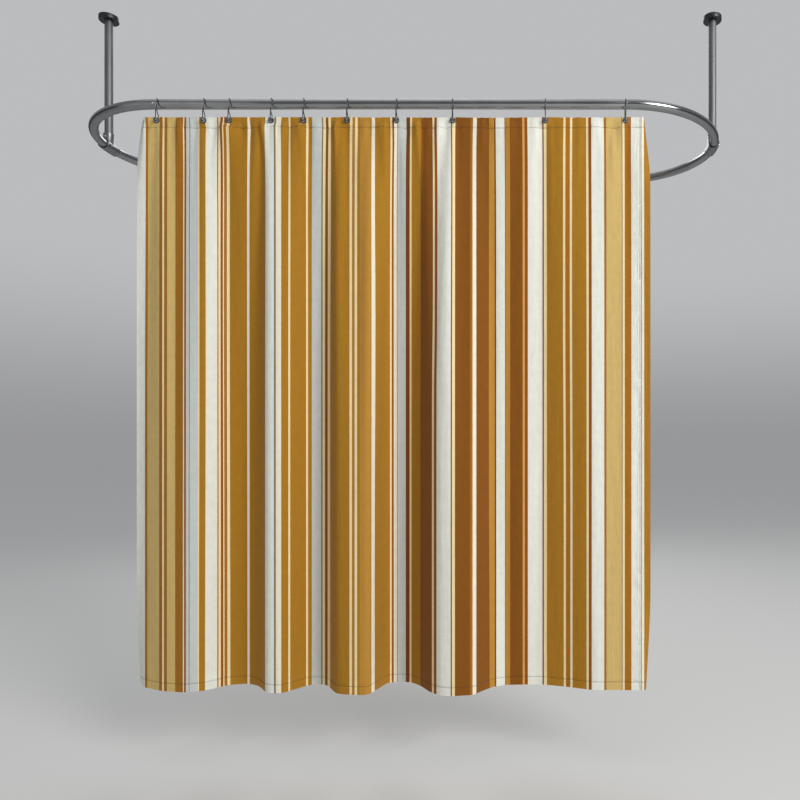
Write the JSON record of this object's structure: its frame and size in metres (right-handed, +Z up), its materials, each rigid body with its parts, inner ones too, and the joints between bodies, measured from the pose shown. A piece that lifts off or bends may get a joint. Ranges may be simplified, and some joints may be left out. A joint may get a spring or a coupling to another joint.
{
  "type": "shower curtain",
  "caption": "Striped cloth shower curtain hung by wire hooks and eyelets from an oval ring rail that hangs on ceiling posts; it draws along the rail and swings.",
  "frame": {"origin": "on the ceiling plane, midway between the two posts", "axes": "+Z up, X along the front rail with the last hook on the +X side, the curtain on the -Y side of the ring"},
  "size_m": [2.256, 0.7075, 2.3425],
  "materials": {
    "rail_steel": "brushed dark gunmetal tube",
    "fitting_steel": "dark satin fitting",
    "bright_steel": "bright steel screw or plate",
    "hook_steel": "dark wire",
    "ball_metal": "grey metal ball",
    "eyelet_metal": "pressed metal eyelet",
    "cloth_ochre": "matt printed cloth",
    "cloth_ivory": "matt printed cloth",
    "cloth_brown": "matt printed cloth"
  },
  "bodies": {
    "ring_rail": {"front_rail_tube": "rail_steel", "rear_rail_tube": "rail_steel", "left_bend_tube": "rail_steel", "left_tee_fitting": "fitting_steel", "left_tee_rail_screw": "bright_steel", "left_tee_post_screw": "bright_steel", "left_post_tube": "rail_steel", "left_ceiling_plate": "bright_steel", "left_flange_cover": "fitting_steel", "left_ceiling_screw_left": "bright_steel", "left_ceiling_screw_right": "bright_steel", "right_bend_tube": "rail_steel", "right_tee_fitting": "fitting_steel", "right_tee_rail_screw": "bright_steel", "right_tee_post_screw": "bright_steel", "right_post_tube": "rail_steel", "right_ceiling_plate": "bright_steel", "right_flange_cover": "fitting_steel", "right_ceiling_screw_left": "bright_steel", "right_ceiling_screw_right": "bright_steel"},
    "curtain": {"hook_wire_01": "hook_steel", "hook_ball_01": "ball_metal", "eyelet_01": "eyelet_metal", "curtain_panel_01": "cloth_ochre"},
    "hook_02": {"hook_wire_02": "hook_steel", "hook_ball_02": "ball_metal", "eyelet_02": "eyelet_metal", "curtain_panel_02": "cloth_ivory"},
    "hook_03": {"hook_wire_03": "hook_steel", "hook_ball_03": "ball_metal", "eyelet_03": "eyelet_metal", "curtain_panel_03": "cloth_brown"},
    "hook_04": {"hook_wire_04": "hook_steel", "hook_ball_04": "ball_metal", "eyelet_04": "eyelet_metal", "curtain_panel_04": "cloth_ochre"},
    "hook_05": {"hook_wire_05": "hook_steel", "hook_ball_05": "ball_metal", "eyelet_05": "eyelet_metal", "curtain_panel_05": "cloth_ivory"},
    "hook_06": {"hook_wire_06": "hook_steel", "hook_ball_06": "ball_metal", "eyelet_06": "eyelet_metal", "curtain_panel_06": "cloth_brown"},
    "hook_07": {"hook_wire_07": "hook_steel", "hook_ball_07": "ball_metal", "eyelet_07": "eyelet_metal", "curtain_panel_07": "cloth_ochre"},
    "hook_08": {"hook_wire_08": "hook_steel", "hook_ball_08": "ball_metal", "eyelet_08": "eyelet_metal", "curtain_panel_08": "cloth_ivory"},
    "hook_09": {"hook_wire_09": "hook_steel", "hook_ball_09": "ball_metal", "eyelet_09": "eyelet_metal", "curtain_panel_09": "cloth_brown"},
    "hook_10": {"hook_wire_10": "hook_steel", "hook_ball_10": "ball_metal", "eyelet_10": "eyelet_metal", "curtain_panel_10": "cloth_ochre"}
  },
  "joints": [
    {"name": "curtain_swing", "type": "hinge", "parent": "ring_rail", "child": "curtain", "pos_m": [0, -0.315, -0.472], "axis": [1, 0, 0], "range_deg": [-12, 12]},
    {"name": "hook_02_slide", "type": "slide", "parent": "curtain", "child": "hook_02", "axis": [1, 0, 0], "range_m": [-0.0995, 0], "deforming": ["curtain_panel_01"]},
    {"name": "hook_03_slide", "type": "slide", "parent": "curtain", "child": "hook_03", "axis": [1, 0, 0], "range_m": [-0.153, 0], "deforming": ["curtain_panel_02"]},
    {"name": "hook_04_slide", "type": "slide", "parent": "curtain", "child": "hook_04", "axis": [1, 0, 0], "range_m": [-0.2421, 0], "deforming": ["curtain_panel_03"]},
    {"name": "hook_05_slide", "type": "slide", "parent": "curtain", "child": "hook_05", "axis": [1, 0, 0], "range_m": [-0.3104, 0], "deforming": ["curtain_panel_04"]},
    {"name": "hook_06_slide", "type": "slide", "parent": "curtain", "child": "hook_06", "axis": [1, 0, 0], "range_m": [-0.4024, 0], "deforming": ["curtain_panel_05"]},
    {"name": "hook_07_slide", "type": "slide", "parent": "curtain", "child": "hook_07", "axis": [1, 0, 0], "range_m": [-0.5064, 0], "deforming": ["curtain_panel_06"]},
    {"name": "hook_08_slide", "type": "slide", "parent": "curtain", "child": "hook_08", "axis": [1, 0, 0], "range_m": [-0.6252, 0], "deforming": ["curtain_panel_07"]},
    {"name": "hook_09_slide", "type": "slide", "parent": "curtain", "child": "hook_09", "axis": [1, 0, 0], "range_m": [-0.8212, 0], "deforming": ["curtain_panel_08"]},
    {"name": "curtain_draw", "type": "slide", "parent": "curtain", "child": "hook_10", "axis": [1, 0, 0], "range_m": [-0.99, 0], "deforming": ["curtain_panel_09"]}
  ],
  "couplings": [
    {"joint": "hook_02_slide", "follows": "curtain_draw", "ratio": 0.1},
    {"joint": "hook_03_slide", "follows": "curtain_draw", "ratio": 0.154},
    {"joint": "hook_04_slide", "follows": "curtain_draw", "ratio": 0.244},
    {"joint": "hook_05_slide", "follows": "curtain_draw", "ratio": 0.313},
    {"joint": "hook_06_slide", "follows": "curtain_draw", "ratio": 0.406},
    {"joint": "hook_07_slide", "follows": "curtain_draw", "ratio": 0.511},
    {"joint": "hook_08_slide", "follows": "curtain_draw", "ratio": 0.631},
    {"joint": "hook_09_slide", "follows": "curtain_draw", "ratio": 0.829}
  ]
}
